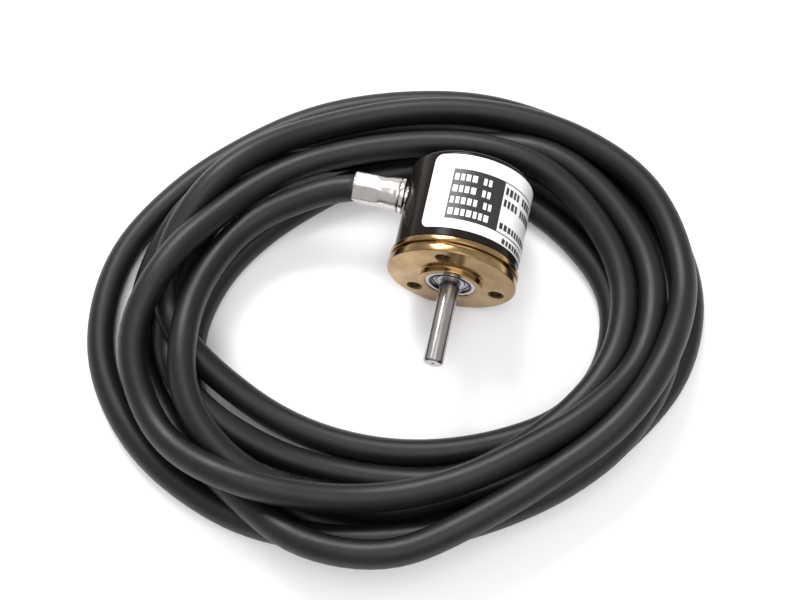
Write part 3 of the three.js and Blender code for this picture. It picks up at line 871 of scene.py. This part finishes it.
def printed_sheet(start, end, front, rear, layer=0):
    """A patch of ink: layer 0 lies on the label and layer 1 on layer 0."""
    under = LABEL_OUTER_R + layer * INK
    return wrapped(start, end, front, rear, under - INK_SINK, under + INK)


def glyph_row(start, y, height, widths, gap):
    """Upright blocks in a row, standing for print: widths are in degrees and 0 is a space."""
    made, angle = [], start
    for width in widths:
        if width:
            made.append((angle, angle - width, y - height / 2, y + height / 2))
        angle -= (width or SPACE) + gap
    return made


def add_label():
    sheet = wrapped(
        LABEL_FROM, LABEL_TO, LABEL_FRONT, label_high.y, LABEL_INNER_R, LABEL_OUTER_R, LABEL_CORNER
    )
    panel = printed_sheet(PANEL_FROM, PANEL_TO, PANEL_FRONT, PANEL_REAR)
    rims = [
        printed_sheet(PANEL_TO, RIM_TO, y, y + RIM_WIDTH)
        for y in (PANEL_FRONT, PANEL_REAR - RIM_WIDTH)
    ]
    random.seed(7)
    white, black = [], []
    for y, first_word, second_word in WHITE_ROWS:
        widths = [random.choice((3.2, 3.8, 4.4)) for _ in range(first_word)]
        if second_word:
            widths += [0] + [random.choice((3.0, 3.8)) for _ in range(second_word)]
        white += glyph_row(WHITE_START, y, WHITE_HEIGHT, widths, gap=1.7)
    for y, start, blocks, height in BLACK_ROWS:
        widths = [
            random.choice((0, 3.0, 3.6, 4.2) if i % 5 == 4 else (3.0, 3.8)) for i in range(blocks)
        ]
        black += glyph_row(start, y, height, widths, gap=1.5)
    parts = [sheet, panel, *rims]
    parts += [printed_sheet(*place) for place in black]
    blacks = len(parts)
    parts += [printed_sheet(*place, layer=1) for place in white]
    vertices, faces, source = joined(*parts)
    kinds = [0 if number == 0 else 1 if number < blacks else 2 for number in source]
    materials = [material["label_foil"], ink_black, ink_white]
    label = add_mesh("label_sheet", vertices, faces, materials, face_material=kinds)
    ride(label, "housing", "label_foil", "data_label")


# ---- Shaft and front bearing ----

SHAFT_CHAMFER = 0.35
CENTRE_MARK_R, CENTRE_MARK_DEPTH = 0.32, 0.35  # left by the lathe's centre in the tip
BALL_CIRCLE_R = 3.25
RACE_GROOVE_R = 0.71
OUTER_RACE_R = 3.72
LIP_R = 4.32
SNAP_RING_R, SNAP_WIRE_R = 4.02, 0.24
SNAP_RING_FROM, SNAP_RING_TO = -52, 265  # degrees, seen from the front


def add_shaft():
    tip, end = shaft_low.y, shaft_high.y
    rear_chamfer = 0.2
    profile = rounded([
        (0.0, tip + CENTRE_MARK_DEPTH), (CENTRE_MARK_R, tip),
        (SHAFT_R - SHAFT_CHAMFER, tip), (SHAFT_R, tip + SHAFT_CHAMFER),
        (SHAFT_R, end - rear_chamfer), (SHAFT_R - rear_chamfer, end), (0.0, end),
    ], 0.08, closed=False)
    shaft = add_mesh("shaft_ground", *lathe(profile, closed=False), [material["shaft_steel"]])
    ride(shaft, "rotor", "shaft_steel", "shaft")


def race(low, high, inner, outer, groove_side):
    """A bearing ring's profile, with its ball groove on the inside (1) or on the outside (-1)."""
    middle = (low + high) / 2
    wall = inner if groove_side > 0 else outer
    reach = math.acos(abs(wall - BALL_CIRCLE_R) / RACE_GROOVE_R)
    centre = 0 if groove_side > 0 else math.pi
    groove = [
        (BALL_CIRCLE_R + RACE_GROOVE_R * math.cos(a), middle + RACE_GROOVE_R * math.sin(a))
        for a in np.linspace(centre + reach * groove_side, centre - reach * groove_side, 9)
    ]
    corners = [(inner, low), (outer, low), (outer, high), (inner, high)]
    if groove_side < 0:
        corners = corners[2:] + corners[:2]
    return rounded(corners, 0.15) + groove


def add_front_bearing():
    steel = [material["bearing_steel"]]
    outer_race = race(ring_low.y, ring_high.y, OUTER_RACE_R, ring_high.x, 1)
    inner_race = race(inner_low.y, inner_high.y, SHAFT_R + 0.03, inner_high.x, -1)
    outer = add_mesh("bearing_outer", *lathe(outer_race), steel)
    inner = add_mesh("bearing_inner", *lathe(inner_race), steel)
    ride(outer, "housing", "bearing_steel", "front_outer_ring")
    ride(inner, "rotor", "bearing_steel", "front_inner_ring")


def add_bearing_shield():
    """The pressed shield: its middle is a step further back than its rim."""
    low, high = shield_low.y, shield_high.y
    span = shield_high.x - inner_high.x
    inside = inner_high.x + 0.1
    step = 0.1
    profile = rounded([
        (inside, low + step), (inside + 0.3 * span, low + step), (inside + 0.45 * span, low),
        (shield_high.x, low), (shield_high.x, high), (inside + 0.5 * span, high), (inside, high),
    ], 0.04)
    shield = add_mesh("bearing_shield", *lathe(profile), [material["shield_steel"]])
    ride(shield, "housing", "shield_steel", "front_shield")


def add_bearing_lip():
    """A steel retainer in the counterbore, in front of the bearing's outer ring."""
    face = ring_low.y
    front, middle, back = face - 0.4, face - 0.12, face - 0.02
    wall, ring = COUNTERBORE_R - 0.04, ring_high.x + 0.05
    profile = rounded([
        (LIP_R, back), (LIP_R, front), (wall, front), (wall, middle), (ring, middle), (ring, back),
    ], 0.08)
    lip = add_mesh("bearing_lip", *lathe(profile), [material["bearing_steel"]])
    ride(lip, "housing", "bearing_steel")


def add_snap_ring():
    """A ring of black wire in front of the bearing, open at the bottom."""
    path = [
        (SNAP_RING_R * math.cos(a), ring_low.y - SNAP_WIRE_R, SNAP_RING_R * math.sin(a))
        for a in np.linspace(math.radians(SNAP_RING_FROM), math.radians(SNAP_RING_TO), 60)
    ]
    clip = add_mesh("snap_ring", *tube(path, SNAP_WIRE_R, 12), [black_oxide])
    ride(clip, "housing", "spring_steel")


# ---- Gland and crimped ferrule: made along +Y from the shaft's axis, then turned to -X ----

STUB_R, STUB_BORE_R = 2.3, 1.6
COLLAR_GAP, COLLAR_WIDTH = 0.3, 0.9

WAIST_R, WAIST_DEPTH = 3.5, 0.32
WAIST_FROM, WAIST_TO = 1.2, 4.6  # from the ferrule's start
CRIMP_FROM, CRIMP_TO = 3.4, 5.2
FERRULE_LIP, FERRULE_LIP_AT, FERRULE_LIP_WIDTH = 0.18, 0.45, 0.4
CRIMP_SIDES, CRIMP_TURN = 6, 15
CRIMP_FLAT_R, CRIMP_CORNER_R = 2.98, 3.32  # out to the middle of a flat, and to a corner
ROLLED_EDGE, ROLLED_WIDTH = 0.22, 0.35
CABLE_BORE_DEPTH = 3.0
CORES_BORE_R, CORES_BORE_START = 2.4, 3.4  # it starts this far from the mouth


def along_gland(vertices):
    """Turns points made about the Y axis to lie along -X at the gland's height."""
    return [(-y, GLAND_Y + x, z) for x, y, z in vertices]


def add_gland():
    collar_r = gland_high.z
    start, end = -gland_high.x, -gland_low.x
    collar = COVER_R + COLLAR_GAP
    profile = rounded([
        (STUB_BORE_R, start), (STUB_R, start), (STUB_R, collar), (collar_r, collar),
        (collar_r, collar + COLLAR_WIDTH), (STUB_R, collar + COLLAR_WIDTH),
        (STUB_R, end), (STUB_BORE_R, end),
    ], 0.2)
    vertices, faces = lathe(profile, 72)
    gland = add_mesh("gland_collar", along_gland(vertices), faces, [material["gland_nickel"]])
    ride(gland, "housing", "gland_nickel", "gland_stub")


def smoothstep(value, low, high):
    t = min(1.0, max(0.0, (value - low) / (high - low)))
    return t * t * (3 - 2 * t)


def ferrule_radius(along, angle):
    """The ferrule's outside: round by the collar, waisted, then crimped to rounded flats."""
    start, end = -ferrule_high.x, -ferrule_low.x
    lip = FERRULE_LIP * math.exp(-(((along - start - FERRULE_LIP_AT) / FERRULE_LIP_WIDTH) ** 2))
    waist = WAIST_R - WAIST_DEPTH * smoothstep(along, start + WAIST_FROM, start + WAIST_TO) + lip
    sector = math.radians(360 / CRIMP_SIDES)
    from_flat = (angle + math.radians(CRIMP_TURN)) % sector - sector / 2
    flat = min(CRIMP_CORNER_R, CRIMP_FLAT_R / math.cos(from_flat))
    crimped = smoothstep(along, start + CRIMP_FROM, start + CRIMP_TO)
    rolled = ROLLED_EDGE * smoothstep(along, end - ROLLED_WIDTH, end) ** 2
    return waist * (1 - crimped) + flat * crimped - rolled


def add_ferrule():
    start, end = -ferrule_high.x, -ferrule_low.x
    around = np.linspace(0, 2 * math.pi, 96, endpoint=False)
    cable_bore_r = CABLE_R + 0.02
    bores = [
        (cable_bore_r, end), (cable_bore_r, end - CABLE_BORE_DEPTH),
        (CORES_BORE_R, end - CORES_BORE_START), (CORES_BORE_R, start),
    ]
    rings = [[(ferrule_radius(s, a), s, a) for a in around] for s in np.linspace(start, end, 60)]
    rings += [[(r, s, a) for a in around] for r, s in bores]
    vertices = [(r * math.cos(a), s, r * math.sin(a)) for ring in rings for r, s, a in ring]
    faces = ring_faces(len(rings), len(around), closed=True)
    nickel = [material["ferrule_nickel"]]
    ferrule = add_mesh("ferrule_crimped", along_gland(vertices), faces, nickel)
    ride(ferrule, "housing", "ferrule_nickel", "crimp_ferrule")


add_flange()
add_cover()
add_label()
add_shaft()
add_front_bearing()
add_bearing_shield()
add_bearing_lip()
add_snap_ring()
add_gland()
add_ferrule()

# ---- Cable ----

CORE_COLORS = ("wire_red", "wire_black", "wire_yellow", "wire_blue")
CORE_R, STRANDS_R = 0.62, 0.36
CORE_ROOT = 1.5  # how far inside the jacket the cores start
BARE_POINTS = 5  # of the core's path, which has one every 0.5 mm


def add_cable_cores():
    """The cut end's four cores: insulated, then a short length of bare tinned strands.

    They leave the jacket as a bundle of two above and two below, then spread out and droop.
    """
    end = cable_line[-1]
    ahead = cable_line[-1] - cable_line[-3]
    ahead /= np.linalg.norm(ahead)
    side = np.cross([0, 0, 1], ahead)
    cores = []
    for i, slot in enumerate(CORE_COLORS):
        spread = (i - 1.5) / 1.5
        high = 0.75 if i in (1, 2) else -0.6
        root = end - ahead * CORE_ROOT + side * spread * 1.1 + np.array([0, 0, high])
        path = evenly_spaced(np.array([
            root,
            root + ahead * 3,
            root + ahead * 6 + side * spread * 1.2 - [0, 0, 1.0 + high * 0.4],
            root + ahead * (8.5 + 0.6 * i) + side * spread * 2.4 - [0, 0, 1.2 + high],
        ]), 0.5)
        insulation = tube(path[:-BARE_POINTS], CORE_R, 16, chamfer=0.1)
        strands = tube(path[-BARE_POINTS - 2:], STRANDS_R, 12, chamfer=0.1)
        vertices, faces, source = joined(insulation, strands)
        materials = [material[slot], copper]
        core = add_mesh(f"core_{i + 1}", vertices, faces, materials, ORIGIN, face_material=source)
        ride(core, "housing", slot)
        cores.append(core)
    return cores


def add_cable():
    vertices, faces = tube(cable_line, CABLE_R, 28, chamfer=0.25)
    materials = [material["cable_jacket"]]
    cable = add_mesh("cable_tube", vertices, faces, materials, ORIGIN, sharp_degrees=60)
    ride(cable, "housing", "cable_jacket", "cable_lead", "cable_coil")
    add_cable_cores()


add_cable()

# ---- Table and light ----


def add_table():
    g = Graph("table_paper", (0.9, 0.895, 0.905), 0.6, Specular_IOR_Level=0.25)
    g.color(g.mixed(g.noise(60, 2), (0.9, 0.89, 0.905), (0.925, 0.92, 0.925)))
    g.bump(g.noise(1.2, 2), 0.01, 0.3)
    half = 1500
    corners = [(-half, -half, 0), (half, -half, 0), (half, half, 0), (-half, half, 0)]
    add_mesh("table", corners, [(0, 1, 2, 3)], [g.material], ORIGIN)


def add_light(name, place_mm, size_mm, watts, mirrored=True):
    """A white panel that faces the encoder; metal and enamel mirror it only if mirrored."""
    data = bpy.data.lights.new(name, "AREA")
    data.shape = "RECTANGLE"
    data.size, data.size_y = (side * MM for side in size_mm)
    data.energy = watts
    light = bpy.data.objects.new(name, data)
    scene.collection.objects.link(light)
    light.location = Vector(place_mm) * MM
    light.rotation_mode = "QUATERNION"
    light.rotation_quaternion = (TARGET * MM - light.location).to_track_quat("-Z", "Y")
    light.visible_glossy = mirrored


def add_world():
    world = bpy.data.worlds.new("studio")
    world.use_nodes = True
    background = world.node_tree.nodes["Background"]
    background.inputs["Color"].default_value = (0.97, 0.98, 1.0, 1)
    background.inputs["Strength"].default_value = 0.62
    scene.world = world


add_table()
add_light("window", (-300, 480, 620), (430, 330), 6.0)
add_light("ceiling", (150, -150, 900), (700, 700), 3.0)
add_light("front", (60, -560, 560), (400, 300), 2.2, mirrored=False)
add_world()
scene.view_settings.view_transform = "Standard"
